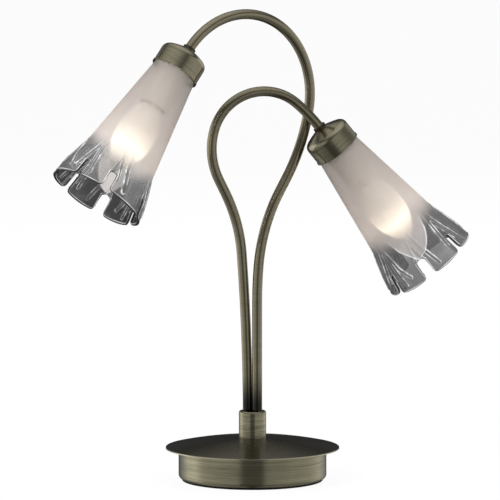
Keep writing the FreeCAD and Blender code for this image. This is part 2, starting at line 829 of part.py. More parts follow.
def make_holder(name, place):
    """Lampholder: dome on the tube's thread, barrel, contact block and screw shell."""
    top = d.cap_wall + d.seat_gap
    roof = top + d.holder_roof
    keep(turned(name + "_holder_dome", [
        corner(d.tube_radius + d.thread_gap, top),
        corner(d.cap_crown, top),
        corner(d.holder_radius, roof),
        corner(d.holder_radius, d.holder_flange_top),
        corner(d.holder_flange, d.holder_flange_top),
        corner(d.holder_flange, d.holder_flange_bottom),
        corner(d.holder_radius - d.holder_wall, d.holder_flange_bottom),
        corner(d.holder_radius - d.holder_wall, roof),
        corner(d.tube_radius + d.thread_gap, roof)]), place)
    bore = d.barrel_radius - d.holder_wall
    keep(turned(name + "_holder_barrel", washer_outline(bore, d.barrel_radius, d.holder_flange_bottom,
                                                        d.barrel_bottom)), place)
    pin_bore = d.contact_pin_radius + d.slide_gap
    pin_stop = d.block_bottom + d.slide_gap - d.contact_pin_length - d.slide_gap * 2
    keep(turned(name + "_contact_block", [
        corner(0, d.block_top),
        corner(bore - d.seat_gap, d.block_top),
        corner(bore - d.seat_gap, d.block_bottom),
        corner(pin_bore, d.block_bottom),
        corner(pin_bore, pin_stop),
        corner(0, pin_stop)]), place)
    keep(turned(name + "_screw_shell", washer_outline(d.shell_inner, d.shell_inner + d.shell_wall,
                                                      d.block_bottom, d.shell_bottom)), place)


def make_contact(name, place):
    """Sprung centre contact: a button on a pin that slides in the contact block."""
    low = d.block_bottom + d.slide_gap
    keep(turned(name + "_centre_contact", [
        corner(0, low - d.contact_pin_length),
        corner(d.contact_pin_radius, low - d.contact_pin_length),
        corner(d.contact_pin_radius, low),
        corner(d.contact_radius, low),
        corner(d.contact_radius, low + d.contact_thickness),
        corner(0, low + d.contact_thickness)]), place)


glass_top = d.holder_flange_bottom + d.slide_gap
cone_slope = (d.cone_radius - d.cone_start_radius) / d.cone_place


def cone_at(height):
    return d.cone_start_radius + cone_slope * (height - d.cap_depth)


def make_ring(name, place):
    """Threaded ring that holds the glass up against the lampholder."""
    low = glass_top + d.glass_wall + d.slide_gap
    keep(turned(name + "_shade_ring", washer_outline(d.barrel_radius + d.slide_gap, d.ring_radius,
                                                     low, low + d.ring_height)), place)


def make_glass(name, place, turn):
    """Tulip glass: holed neck, long cone and flared rim split into petals by notches."""
    wall = d.glass_wall
    shoulder = glass_top + d.glass_neck_edge
    mouth = d.cap_depth + d.flare_place
    cone_end = d.cap_depth + d.cone_place
    body = turned(name + "_glass_shade", [
        corner(d.glass_hole, glass_top),
        corner(cone_at(shoulder) - d.glass_neck_edge, glass_top),
        corner(cone_at(shoulder), shoulder, d.glass_neck_edge),
        corner(d.cone_radius, cone_end),
        corner(d.flare_radius, mouth, d.flare_bend),
        corner(d.flare_radius - wall, mouth),
        corner(d.cone_radius - wall, cone_end, d.flare_bend - wall, ccw=False),
        corner(cone_at(glass_top + wall) - wall, glass_top + wall),
        corner(d.glass_hole, glass_top + wall)])
    outline = body.Group[0]
    notch = new_sketch(body, "YZ_Plane", name + "_notch_outline")
    half = d.notch_width / 2
    draw_loop(notch, [corner(-half, mouth - d.notch_depth), corner(half, mouth - d.notch_depth),
                      corner(half, mouth + wall), corner(-half, mouth + wall)])
    pocket = body.newObject("PartDesign::Pocket", name + "_notch")
    pocket.Profile = notch
    pocket.setExpression("Length", (d.flare_radius + wall).text)
    pocket.Reversed = True
    doc.recompute()
    pattern = body.newObject("PartDesign::PolarPattern", name + "_notches")
    pattern.Originals = [pocket]
    pattern.Axis = (outline, ["V_Axis"])
    pattern.Angle = 360.0
    pattern.setExpression("Occurrences", d.petal_count.text)
    body.Tip = pattern
    doc.recompute()
    keep(body, place.multiply(FreeCAD.Placement(FreeCAD.Vector(0, 0, 0),
                                                FreeCAD.Rotation(Z_AXIS, turn.value))))


def make_bulb(name, place):
    """Candle bulb with a small screw cap; its own heights start at its centre contact."""
    start = d.block_bottom + d.slide_gap * 2 + d.contact_thickness
    seat = place.multiply(at(0, 0, start.value))
    base = d.bulb_insulator_height
    skirt = base + d.bulb_cap_length
    button = base / 3
    bore = d.bulb_cap_radius - d.bulb_cap_wall
    keep(turned(name + "_bulb_contact", rod_outline(d.bulb_contact_radius, ZERO, button)), seat)
    keep(turned(name + "_bulb_insulator", rod_outline(d.bulb_insulator_radius, button, base)), seat)
    keep(turned(name + "_bulb_cap", [
        corner(d.bulb_contact_radius + d.bulb_cap_wall, base),
        corner(d.bulb_cap_radius, base),
        corner(d.bulb_cap_radius, skirt),
        corner(bore, skirt),
        corner(bore, base + d.bulb_cap_wall),
        corner(d.bulb_contact_radius + d.bulb_cap_wall, base + d.bulb_cap_wall)]), seat)
    wall = d.bulb_wall
    keep(turned(name + "_bulb_glass", [
        corner(bore, skirt),
        corner(d.bulb_neck_radius, skirt),
        corner(d.bulb_radius, d.bulb_wide_place, d.bulb_lower_bend),
        corner(d.bulb_tip_radius, d.bulb_length, d.bulb_upper_bend),
        corner(0, d.bulb_length),
        corner(0, d.bulb_length - wall),
        corner(d.bulb_tip_radius, d.bulb_length - wall),
        corner(d.bulb_radius - wall, d.bulb_wide_place, d.bulb_upper_bend - wall, ccw=False),
        corner(d.bulb_neck_radius - wall, skirt + wall, d.bulb_lower_bend - wall, ccw=False),
        corner(bore, skirt + wall)]), seat)
    post = d.mount_post_top - d.glass_mount_top
    apart = d.mount_post_gap / 2
    pieces = [cylinder(name + "_glass_mount", bore - d.seat_gap, d.glass_mount_top - d.glass_mount_start,
                       (ZERO, ZERO, d.glass_mount_start))]
    pieces += [cylinder("%s_post_%d" % (name, number), d.mount_post_radius, post,
                        (apart * side, ZERO, d.glass_mount_top)) for number, side in enumerate((-1, 1))]
    pieces.append(cylinder(name + "_filament_wire", d.filament_radius, d.mount_post_gap,
                           (-apart, ZERO, d.mount_post_top - d.mount_post_radius), (1, 0, 0)))
    mount = join(name + "_bulb_filament", pieces)
    doc.recompute()
    keep(mount, seat)


def make_head(name, arm):
    place = head_place(arm)
    make_lock_nut(name, place)
    make_cap(name, place)
    make_holder(name, place)
    make_contact(name, place)
    make_ring(name, place)
    make_glass(name, place, arm.shade_turn)
    make_bulb(name, place)
    axis = place.Rotation.multVec(Z_AXIS)
    print("%s head: entry %.4f %.4f %.4f, axis %.6f %.6f %.6f" % (name, *place.Base, *axis))


# ---------------------------------------------------------------- the whole lamp

make_pad()
make_drum()
make_top_plate()
make_weight()
make_cover()
make_inlet()
make_terminals()
make_clamp()
make_collar()
for arm_name, arm_values in ARMS.items():
    make_arm(arm_name, arm_values)
    make_head(arm_name, arm_values)
doc.recompute()

for item in doc.Objects:
    if "Invalid" in item.State or "Error" in item.State:
        raise RuntimeError("%s did not build: %s" % (item.Label, item.State))
for item in subparts:
    if item.Shape.isNull() or not item.Shape.isValid():
        raise RuntimeError("%s has no valid shape" % item.Label)

os.makedirs("parts", exist_ok=True)
for item in subparts:
    item.Shape.exportStep("parts/%s.step" % item.Label)
print("%d sub-parts written" % len(subparts))
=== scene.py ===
import json
import math

import bpy
import numpy as np
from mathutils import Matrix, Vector


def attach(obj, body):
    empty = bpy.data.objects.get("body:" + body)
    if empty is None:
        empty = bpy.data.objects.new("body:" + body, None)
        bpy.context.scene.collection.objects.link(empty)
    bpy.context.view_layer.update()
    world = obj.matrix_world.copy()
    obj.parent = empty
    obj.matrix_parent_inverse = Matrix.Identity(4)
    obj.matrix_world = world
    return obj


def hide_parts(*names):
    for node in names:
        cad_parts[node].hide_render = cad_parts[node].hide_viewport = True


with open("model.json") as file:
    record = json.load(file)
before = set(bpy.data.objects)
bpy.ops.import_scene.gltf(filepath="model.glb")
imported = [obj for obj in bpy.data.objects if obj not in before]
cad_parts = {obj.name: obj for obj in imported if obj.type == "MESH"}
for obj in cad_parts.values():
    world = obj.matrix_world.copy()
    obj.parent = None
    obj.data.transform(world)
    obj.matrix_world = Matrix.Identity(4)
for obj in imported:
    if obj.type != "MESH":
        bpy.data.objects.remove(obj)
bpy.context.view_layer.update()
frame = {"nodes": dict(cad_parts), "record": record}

MM = 0.001

# ---------------------------------------------------------------- camera

LOOK_DOWN = math.radians(7.1)
BACK = Vector((0.0, -math.cos(LOOK_DOWN), math.sin(LOOK_DOWN)))
AIM = Vector((-0.0025, 0.0, 0.232))
CAMERA_DISTANCE = 9.0
CAMERA_LENS = 648.0


def make_camera():
    data = bpy.data.cameras.new("camera")
    data.sensor_width = 36.0
    data.lens = CAMERA_LENS
    data.clip_start = 1.0
    data.clip_end = 60.0
    camera = bpy.data.objects.new("camera", data)
    camera.location = AIM + BACK * CAMERA_DISTANCE
    camera.rotation_euler = BACK.to_track_quat("Z", "Y").to_euler()
    bpy.context.scene.collection.objects.link(camera)
    bpy.context.scene.camera = camera


# ---------------------------------------------------------------- node helpers

class Tree:
    """Short calls for building one node tree."""

    def __init__(self, tree):
        self.tree = tree
        tree.nodes.clear()

    def node(self, kind, inputs=None, **settings):
        made = self.tree.nodes.new(kind)
        for name, value in settings.items():
            setattr(made, name, value)
        for key, value in (inputs or {}).items():
            self.feed(made.inputs[key], value)
        return made

    def feed(self, socket, value):
        if isinstance(value, bpy.types.NodeSocket):
            self.tree.links.new(value, socket)
        elif isinstance(value, bpy.types.Node):
            self.tree.links.new(value.outputs[0], socket)
        elif isinstance(value, (tuple, list)) and socket.type == "RGBA" and len(value) == 3:
            socket.default_value = (*value, 1.0)
        else:
            socket.default_value = value

    def math(self, operation, first, second=None, clamp=False):
        made = self.node("ShaderNodeMath", operation=operation, use_clamp=clamp)
        for socket, value in zip(made.inputs, (first, second)):
            if value is not None:
                self.feed(socket, value)
        return made.outputs[0]

    def vector(self, operation, first, second=None):
        made = self.node("ShaderNodeVectorMath", operation=operation)
        self.feed(made.inputs[0], first)
        if second is not None:
            self.feed(made.inputs[1], second)
        return made.outputs["Value" if operation == "DOT_PRODUCT" else "Vector"]

    def span(self, value, low, high, start=0.0, end=1.0, smooth=True):
        made = self.node("ShaderNodeMapRange", {0: value, 1: low, 2: high, 3: start, 4: end},
                         interpolation_type="SMOOTHSTEP" if smooth else "LINEAR")
        return made.outputs[0]

    def ramp(self, value, stops):
        made = self.node("ShaderNodeValToRGB", {0: value})
        band = made.color_ramp
        while len(band.elements) < len(stops):
            band.elements.new(0.5)
        for element, (place, colour) in zip(band.elements, stops):
            element.position = place
            tone = colour if isinstance(colour, tuple) else (colour, colour, colour)
            element.color = (*tone, 1.0)
        return made.outputs[0]

    def mix(self, factor, first, second):
        made = self.node("ShaderNodeMix", data_type="RGBA")
        self.feed(made.inputs[0], factor)
        self.feed(made.inputs[6], first)
        self.feed(made.inputs[7], second)
        return made.outputs[2]

    def noise(self, place, scale, detail=3.0, roughness=0.5):
        made = self.node("ShaderNodeTexNoise", {"Vector": place, "Scale": scale, "Detail": detail,
                                                "Roughness": roughness})
        return made.outputs[0]

    def blend(self, factor, first, second):
        made = self.node("ShaderNodeMixShader", {0: factor, 1: first, 2: second})
        return made.outputs[0]


def new_material(name):
    material = bpy.data.materials.new(name)
    material.use_nodes = True
    tree = Tree(material.node_tree)
    return material, tree


def close(tree, surface):
    tree.node("ShaderNodeOutputMaterial", {"Surface": surface})


# ---------------------------------------------------------------- materials

def frame_place(tree, origin, axis):
    """Radius, angle and height of the shading point about an axis, in metres."""
    place = tree.node("ShaderNodeTexCoord").outputs["Object"]
    rel = tree.vector("SUBTRACT", place, tuple(origin))
    height = tree.vector("DOT_PRODUCT", rel, tuple(axis))
    side = axis.orthogonal().normalized()
    across = axis.cross(side)
    a = tree.vector("DOT_PRODUCT", rel, tuple(side))
    b = tree.vector("DOT_PRODUCT", rel, tuple(across))
    radius = tree.math("SQRT", tree.math("ADD", tree.math("MULTIPLY", a, a), tree.math("MULTIPLY", b, b)))
    angle = tree.math("ARCTAN2", b, a)
    return place, radius, angle, height


FINE_LINES, BROAD_LINES = 1500.0, 620.0    # noise steps per metre across the turned lines
NEAR_BLACK_LOW = (0.035, 0.035, 0.03)
PAINTED_RIM_HIGHLIGHT = (0.60, 0.56, 0.42)


def brushed_brass(name, tone, origin=(0, 0, 0), axis=(0, 0, 1), lines="height", roughness=0.3, stretch=0.6,
                  streak=0.22, wear=0.35, dark_below=None, highlight_rim=None):
    """Antique brass with fine lines turned about an axis; its sheen stretches across those lines.

    dark_below is a span of heights over which the colour fades to near black towards the bottom; the
    edge span is a span of radii where a painted highlight along the rim starts.
    """
    origin, axis = Vector(origin), Vector(axis).normalized()
    material, tree = new_material(name)
    place, radius, angle, height = frame_place(tree, origin, axis)
    along = radius if lines == "radius" else height
    cos_part = tree.math("COSINE", angle)
    sin_part = tree.math("SINE", angle)
    fine = tree.node("ShaderNodeCombineXYZ", {0: tree.math("MULTIPLY", cos_part, 0.9),
                                              1: tree.math("MULTIPLY", sin_part, 0.9),
                                              2: tree.math("MULTIPLY", along, FINE_LINES)})
    broad = tree.node("ShaderNodeCombineXYZ", {0: tree.math("MULTIPLY", cos_part, 0.5),
                                               1: tree.math("MULTIPLY", sin_part, 0.5),
                                               2: tree.math("MULTIPLY", along, BROAD_LINES)})
    lines_fine = tree.noise(fine, 1.6, 4.0, 0.7)
    lines_broad = tree.noise(broad, 1.0, 3.0, 0.6)
    cloud = tree.noise(place, 28.0, 4.0, 0.6)
    streaks = tree.math("ADD", tree.math("MULTIPLY", lines_fine, 0.65),
                        tree.math("MULTIPLY", lines_broad, 0.35))
    darker = tuple(c * 0.5 for c in tone)
    lighter = tuple(min(1.0, c * 1.35) for c in tone)
    colour = tree.mix(tree.span(streaks, 0.5 - streak, 0.5 + streak), darker, lighter)
    worn = (tone[0] * 0.7, tone[1] * 0.68, tone[2] * 0.6)
    colour = tree.mix(tree.span(cloud, 0.35, 0.7, 0.0, wear), colour, worn)
    # painted highlight: the colour turns light along the outer rim
    if highlight_rim:
        colour = tree.mix(tree.span(radius, *highlight_rim), colour, PAINTED_RIM_HIGHLIGHT)
    # darker towards the bottom: the colour fades to near black below the given heights
    if dark_below:
        colour = tree.mix(tree.span(height, *dark_below), NEAR_BLACK_LOW, colour)
    rough = tree.span(streaks, 0.3, 0.7, roughness * 1.25, roughness * 0.8)
    bump = tree.node("ShaderNodeBump", {"Strength": 0.16, "Distance": 0.00006, "Height": lines_fine})
    normal = tree.node("ShaderNodeNewGeometry").outputs["Normal"]
    round_piece = tree.vector("CROSS_PRODUCT", normal, tuple(axis))
    tangent = tree.vector("CROSS_PRODUCT", normal, round_piece)
    metal = tree.node("ShaderNodeBsdfPrincipled", {
        "Base Color": colour, "Metallic": 1.0, "Roughness": rough, "Normal": bump, "Tangent": tangent,
        "Anisotropic": stretch, "Coat Weight": 0.08, "Coat Roughness": 0.1})
    close(tree, metal)
    return material


def plain(name, tone, roughness, metallic=0.0, grain=400.0, depth=0.00005, vary=0.25, coat=0.0):
    """Moulded, cast or plated surface with a grain and a slow change of colour."""
    material, tree = new_material(name)
    place = tree.node("ShaderNodeTexCoord").outputs["Object"]
    small = tree.noise(place, grain, 4.0, 0.6)
    large = tree.noise(place, grain * 0.08, 3.0, 0.5)
    darker = tuple(c * (1.0 - vary) for c in tone)
    lighter = tuple(min(1.0, c * (1.0 + vary * 0.5)) for c in tone)
    colour = tree.mix(tree.span(large, 0.3, 0.7), darker, lighter)
    colour = tree.mix(tree.span(small, 0.3, 0.75, 0.0, 0.4), colour, darker)
    bump = tree.node("ShaderNodeBump", {"Strength": 0.35, "Distance": depth, "Height": small})
    rough = tree.span(small, 0.2, 0.8, roughness * 0.85, min(1.0, roughness * 1.15))
    surface = tree.node("ShaderNodeBsdfPrincipled", {
        "Base Color": colour, "Metallic": metallic, "Roughness": rough, "Normal": bump, "Coat Weight": coat,
        "Coat Roughness": 0.15})
    close(tree, surface)
    return material


BULB_REACH = 0.15           # height from the cap's top, in metres, where the glow's stops end
BULB_STRENGTH = 2.3
BULB_STOPS = [(0.50, 0.03), (0.66, 0.12), (0.75, 0.5), (0.81, 1.0), (0.87, 0.5), (0.93, 0.12), (1.0, 0.05)]


def bulb_material(name, origin, axis):
    """Lit bulb, frosted inside: warm, brightest round the middle of the glass."""
    material, tree = new_material(name)
    place, _, _, height = frame_place(tree, origin, axis)
    level = tree.ramp(tree.math("MULTIPLY", height, 1.0 / BULB_REACH), BULB_STOPS)
    grain = tree.noise(place, 900.0, 2.0)
    tone = tree.mix(tree.span(grain, 0.3, 0.7, 0.0, 0.2), (1.0, 0.90, 0.70), (1.0, 0.95, 0.84))
    strength = tree.math("MULTIPLY", level, BULB_STRENGTH)
    glow = tree.node("ShaderNodeEmission", {"Color": tone, "Strength": strength})
    skin = tree.node("ShaderNodeBsdfPrincipled", {"Base Color": (0.95, 0.93, 0.88), "Roughness": 0.35})
    both = tree.node("ShaderNodeAddShader", {0: glow, 1: skin})
    close(tree, both)
    return material


CLEAR_GLASS, DARK_REFLECTION_GLASS, EDGE_ON_GLASS = (0.88, 0.88, 0.88), (0.25, 0.25, 0.255), (0.22, 0.22, 0.225)
SWIRL_GLASS, RIB_CORE_SHADE = (0.78, 0.78, 0.78), (0.30, 0.31, 0.32)
ETCHED_SHADED_STOPS = [(0.0, (0.38, 0.355, 0.32)), (0.2, (0.48, 0.44, 0.41)), (0.55, (0.62, 0.57, 0.54)),
                (1.0, (0.78, 0.735, 0.73))]


def shade_material(name):
    """Hand-worked glass: an etched body that fades into clear petals with ribs and polished rims."""
    material, tree = new_material(name)

    def attribute(label):
        return tree.node("ShaderNodeAttribute", attribute_name=label).outputs["Fac"]

    place = tree.node("ShaderNodeTexCoord").outputs["Object"]
    frost_soft, tongue, rib = attribute("frost_soft"), attribute("tongue"), attribute("rib")
    rim, outer, height = attribute("rim"), attribute("outer"), attribute("height")
    reflection_dark = attribute("reflection_dark")
    facing = tree.node("ShaderNodeLayerWeight", {"Blend": 0.35}).outputs["Facing"]

    # clear glass: its grey is painted darker petal by petal, as painted reflection of dark surroundings and
    # painted shade inside the shade, and darker where it turns away
    swirl = tree.noise(place, 55.0, 2.0, 0.4)
    depth = tree.span(facing, 0.15, 0.95)
    # painted darkness per petal: the clear glass tint goes towards near black where it stands in for
    # reflected dark surroundings and shade inside the shade
    tint = tree.mix(reflection_dark, CLEAR_GLASS, DARK_REFLECTION_GLASS)
    tint = tree.mix(tree.math("MULTIPLY", depth, 0.75), tint, EDGE_ON_GLASS)
    tint = tree.mix(tree.span(swirl, 0.5, 0.75, 0.0, 0.3), tint, SWIRL_GLASS)
    # painted shade: the ribs' cores are tinted dark, standing in for their refraction
    dark_rib_core = tree.span(rib, 0.75, 0.35)
    tint = tree.mix(dark_rib_core, tint, RIB_CORE_SHADE)
    through = tree.node("ShaderNodeBsdfTransparent", {"Color": tint})
    ripple = tree.node("ShaderNodeBump", {"Strength": 0.25, "Distance": 0.0006, "Height": swirl})
    shine = tree.node("ShaderNodeBsdfGlossy", {
        "Color": (0.95, 0.95, 0.95), "Roughness": 0.07, "Normal": ripple})
    edge_light = tree.node("ShaderNodeFresnel", {"IOR": 1.5, "Normal": ripple})
    clear = tree.blend(tree.math("MULTIPLY", edge_light, 0.8, clamp=True), through, shine)
    haze = tree.node("ShaderNodeBsdfDiffuse", {"Color": (0.80, 0.80, 0.80)})
    clear = tree.blend(tree.math("MULTIPLY", outer, 0.13), clear, haze)

    # painted highlights along the ribs' sides and the polished rims, glowing faintly, and painted shade round
    # the very edge
    flank_highlight = tree.math("MULTIPLY", tree.span(rib, 0.55, 0.8), tree.span(rib, 1.5, 1.05))
    polished_rim_highlight = tree.math("MULTIPLY", tree.span(rim, 0.8, 0.2), tree.span(rim, -0.45, -0.15))
    glint = tree.span(tree.noise(place, 130.0, 2.0, 0.5), 0.38, 0.66, 0.12, 0.8)
    bright = tree.math("MAXIMUM", tree.math("MULTIPLY", flank_highlight, glint), polished_rim_highlight)
    bright = tree.math("MULTIPLY", bright, tree.math("SUBTRACT", 1.0, tree.math("MULTIPLY", frost_soft, 0.8)))
    # painted highlight: a white glossy surface that glows faintly
    white = tree.node("ShaderNodeBsdfPrincipled", {
        "Base Color": (0.93, 0.94, 0.95), "Roughness": 0.15, "Emission Color": (1.0, 1.0, 1.0),
        "Emission Strength": 0.25})
    clear = tree.blend(tree.math("MULTIPLY", bright, 0.85), clear, white)
    # painted shade: near black round the very edge of the bead
    dark = tree.node("ShaderNodeBsdfPrincipled", {"Base Color": (0.035, 0.037, 0.04), "Roughness": 0.12})
    clear = tree.blend(tree.math("MULTIPLY", tree.span(rim, -0.3, -0.6), 0.9), clear, dark)

    # etched glass: scatters the bulb's light; painted darker, warmer and greyer towards the neck as painted
    # shade under the cap
    etch = tree.noise(place, 1400.0, 3.0, 0.6)
    cloud = tree.noise(place, 35.0, 3.0, 0.5)
    body = tree.ramp(tree.span(height, 20.0, 140.0, smooth=False), ETCHED_SHADED_STOPS)
    body = tree.mix(tree.span(cloud, 0.3, 0.7, 0.0, 0.18), body, (0.56, 0.52, 0.50))
    body = tree.mix(tree.span(etch, 0.3, 0.7, 0.0, 0.08), body, (0.95, 0.93, 0.93))
    etched = tree.node("ShaderNodeBump", {"Strength": 0.2, "Distance": 0.00004, "Height": etch})
    skin = tree.node("ShaderNodeBsdfDiffuse", {"Color": body, "Normal": etched})
    pass_on = tree.node("ShaderNodeBsdfTranslucent", {"Color": body, "Normal": etched})
    blurred = tree.node("ShaderNodeBsdfRefraction", {
        "Color": (0.98, 0.95, 0.93), "Roughness": 0.45, "IOR": 1.12, "Normal": etched})
    sheen = tree.node("ShaderNodeBsdfGlossy", {"Color": (1, 1, 1), "Roughness": 0.4, "Normal": etched})
    scatter = tree.blend(0.45, skin, pass_on)
    scatter = tree.blend(0.34, scatter, blurred)
    scatter = tree.blend(0.04, scatter, sheen)
    inner_clear = tree.node("ShaderNodeBsdfTransparent", {"Color": (0.97, 0.96, 0.95)})
    scatter = tree.blend(outer, inner_clear, scatter)

    # the tongue is etched up to a crisp outline, with a painted highlight along it
    crisp = tree.span(tongue, -0.25, 0.25)
    frost = tree.math("MAXIMUM", frost_soft, crisp)
    line = tree.math("MULTIPLY", tree.span(tongue, -1.1, -0.2), tree.span(tongue, 0.7, 0.1))
    line = tree.math("MULTIPLY", line, tree.math("SUBTRACT", 1.0, frost_soft))
    surface = tree.blend(frost, clear, scatter)
    line = tree.math("MULTIPLY", line, tree.math("MULTIPLY", outer, 0.7))
    surface = tree.blend(line, surface, white)
    close(tree, surface)
    return material


# ---------------------------------------------------------------- glass shades

# Of each head, in millimetres: where its tube enters the cap, which way it points and, in degrees,
# where its first notch stands. Of each notch: its shift, in petals, and its clear width. Of each
# petal: how dark its clear glass is painted, as painted reflection and painted shade, and how much
# further down its etching goes.
HEADS = {
    "tall": {"entry": (-63.6896, -53.1687, 437.9400), "axis": (-0.505884, -0.374334, -0.777146),
             "turn": 30.6, "seed": 3, "shift": (0, 0, 0, 0, 0, 0.24, 0),
             "slit": (4.4, 4.4, 9.5, 4.4, 4.4, 7.0, 4.4), "reflection_dark": (0.6, 1.0, 1.0, 0.8, 0.25, 0.2, 0.5),
             "frost": (0, 0, 0, 5, 15, 9, 0)},
    "short": {"entry": (68.1569, 18.0756, 352.2273), "axis": (0.615568, 0.130843, -0.777146),
              "turn": 0.6, "seed": 8, "shift": (0, 0, 0, 0, 0, 0, 0),
              "slit": (4.4, 3.6, 9.5, 3.6, 4.4, 4.4, 4.4), "reflection_dark": (0.8, 0.8, 0.8, 0.8, 0.7, 0.7, 0.7),
              "frost": (0, 0, 0, 0, 0, 0, 0)},
}
PETALS = 7
STEP = 2 * math.pi / PETALS

# heights are measured from the cap's top along the head's axis, in millimetres
CONE_START, CONE_RADIUS, CONE_SLOPE, CONE_END = 27.5, 23.0, 15.5 / 108.0, 135.5
FLARE_RADIUS, FLARE_CENTRE_OUT, FLARE_CENTRE_DOWN = 260.0, -206.33, 222.99
NECK_TOP, WALL, CLEARANCE = 18.1, 2.5, 0.45
BEAD = 1.25
RIM = 179.5 - BEAD - 0.1
NOTCH_ROOT = 139.0
NOTCH_TOP = 161.5 - BEAD
NECK_OUT = [(14.7, NECK_TOP + 0.1), (18.0, NECK_TOP + 0.1), (19.9, NECK_TOP + 0.15), (21.0, NECK_TOP + 0.6)]
NECK_IN = [(14.7, 20.6), (17.0, 20.6), (18.6, 20.8), (19.2, 21.4)]

# the grid of one shade: columns of a petal and of a notch, rows above the notches and below
PETAL_COLUMNS, NOTCH_COLUMNS = 56, 16
WHOLE_ROWS = [(NECK_TOP + 1.6, 100.0, 26), (101.5, 128.0, 20), (128.7, NOTCH_TOP, 50)]
PETAL_ROWS = 26
BEAD_STEPS = 6
CORNER, CROWN, ARCH = 3.2, 0.9, 2.2

# hairpin ribs of one petal: (place across the petal, height) from the root to the rounded end
HAIRPINS = [
    [(0.08, 128.0), (0.13, 142.0), (0.25, 168.0)],
    [(0.81, 132.0), (0.76, 150.0), (0.65, 173.0)],
    [(0.74, 138.0), (0.60, 154.0), (0.42, 169.0)],
]
HAIRPIN_SETS = [(0, 1), (0, 1), (1, 2), (0, 1), (1,), (1,), (0, 2)]

# the etched tongue round one notch: how far it reaches to either side, in petals, at these heights
TONGUE_NOTCH, TONGUE_TOP, TONGUE_TIP = 2, 120.0, 158.5
TONGUE_LOW = ([122, 129, 138, 145, 150, 155, TONGUE_TIP], [0.87, 0.80, 0.70, 0.55, 0.42, 0.25, 0.0])
TONGUE_HIGH = ([122, 128, 133, 141, 147, 153, TONGUE_TIP], [0.70, 0.50, 0.43, 0.33, 0.20, 0.09, 0.0])
FAR_OFF = -30.0


def smooth(value, low, high):
    t = np.clip((value - low) / (high - low), 0.0, 1.0)
    return t * t * (3.0 - 2.0 * t)


def profile(height):
    """The shade's outer radius at a height."""
    cone = CONE_RADIUS + CONE_SLOPE * (height - CONE_START)
    flare = FLARE_CENTRE_OUT + np.sqrt(FLARE_RADIUS ** 2 - (height - FLARE_CENTRE_DOWN) ** 2)
    return np.where(height <= CONE_END, cone, flare)


def near_line(x, y, points):
    """Distance from each (x, y) to a run of straight pieces, all in millimetres."""
    best = np.full(x.shape, 1e9)
    for (ax, ay), (bx, by) in zip(points, points[1:]):
        dx, dy = bx - ax, by - ay
        t = np.clip(((x - ax) * dx + (y - ay) * dy) / (dx * dx + dy * dy), 0.0, 1.0)
        best = np.minimum(best, np.hypot(x - ax - t * dx, y - ay - t * dy))
    return best


def near_path(H, across, path):
    """Distance on the unrolled wall to a path of (petals across, height)."""
    flat = [(a * STEP * float(profile(np.asarray(h))), h) for a, h in path]
    return near_line(across * STEP * profile(H), H, flat)


def per_petal(values, u):
    """Values given for each petal's middle, run evenly round the shade."""
    return np.interp(np.mod(u, PETALS), np.arange(PETALS + 2) - 0.5, [values[-1], *values, values[0]])


def notch_places(head):
    """Where each notch stands, in petals, and half its width between the bead centres, in millimetres."""
    shift, slit = head["shift"], head["slit"]
    centres = np.array([k + shift[k % PETALS] for k in range(PETALS + 1)], float)
    halves = np.array([slit[k % PETALS] / 2 + BEAD for k in range(PETALS + 1)])
    return centres, halves


class ShadeGrid:
    """Columns run round the shade, petal and notch in turn; rows run from the neck to the rims."""

    def __init__(self, head):
        centres, halves = notch_places(head)
        petal_s = np.linspace(-1.0, 1.0, PETAL_COLUMNS + 1)
        notch_s = np.linspace(-1.0, 1.0, NOTCH_COLUMNS + 1)[1:-1]
        pair = len(petal_s) + len(notch_s)
        self.columns = pair * PETALS
        self.in_petal = in_petal = np.arange(self.columns) % pair < len(petal_s)
        self.number = number = np.arange(self.columns) // pair
        self.next = np.roll(np.arange(self.columns), -1)
        place = np.tile(np.concatenate([petal_s, notch_s]), PETALS)

        rows = [np.linspace(*span) for span in WHOLE_ROWS]
        self.whole_rows = sum(len(row) for row in rows)
        heights = np.concatenate([*rows, np.linspace(NOTCH_TOP, RIM, PETAL_ROWS + 1)[1:]])
        H = np.repeat(heights[:, None], self.columns, 1)
        notch_radius = profile(np.maximum(H, NOTCH_TOP))
        half_low = np.arcsin(halves[number] / notch_radius)
        half_high = np.arcsin(halves[number + 1] / notch_radius)
        low_edge = np.where(in_petal, centres[number], centres[number + 1]) * STEP
        low_edge = low_edge + np.where(in_petal, half_low, -half_high)
        high_edge = centres[number + 1] * STEP + np.where(in_petal, -half_high, half_high)
        reach = (high_edge - low_edge) / 2
        self.theta = (high_edge + low_edge) / 2 + place * reach

        # rounded petal corners and crowned rims, arched notch tops
        width = reach * profile(H)
        inset = np.clip(np.abs(place) * width - (width - CORNER), 0.0, CORNER)
        corner = CORNER - np.sqrt(np.maximum(CORNER ** 2 - inset ** 2, 0.0))
        low = np.clip((H - NOTCH_TOP) / (RIM - NOTCH_TOP), 0.0, 1.0)
        H = np.where(in_petal, H - low * (corner + CROWN * place ** 2), H)
        arch = ARCH * (1 - place ** 2) * smooth(H, 146.0, NOTCH_TOP)
        self.H = np.where(in_petal, H, H - arch)


def notch_ribs(H, u, rng):
    """The pair of ribs that part down the sides of each notch: nearness, and how far they stand out."""
    rib, raised = np.full(H.shape, 3.0), np.zeros(H.shape)
    for k in range(PETALS + 1):
        lean = rng.uniform(-0.015, 0.015)
        rise = rng.uniform(-2.0, 2.0)
        for side in (-1, 1):
            path = [(lean, 138.0 + rise), (side * 0.06, 150.0), (side * 0.112, 160.0), (side * 0.135, 166.0)]
            distance = near_path(H, u - k, path)
            rib = np.minimum(rib, distance / 0.95)
            raised = np.maximum(raised, 0.85 * np.exp(-(distance / 0.8) ** 4))
    return rib, raised


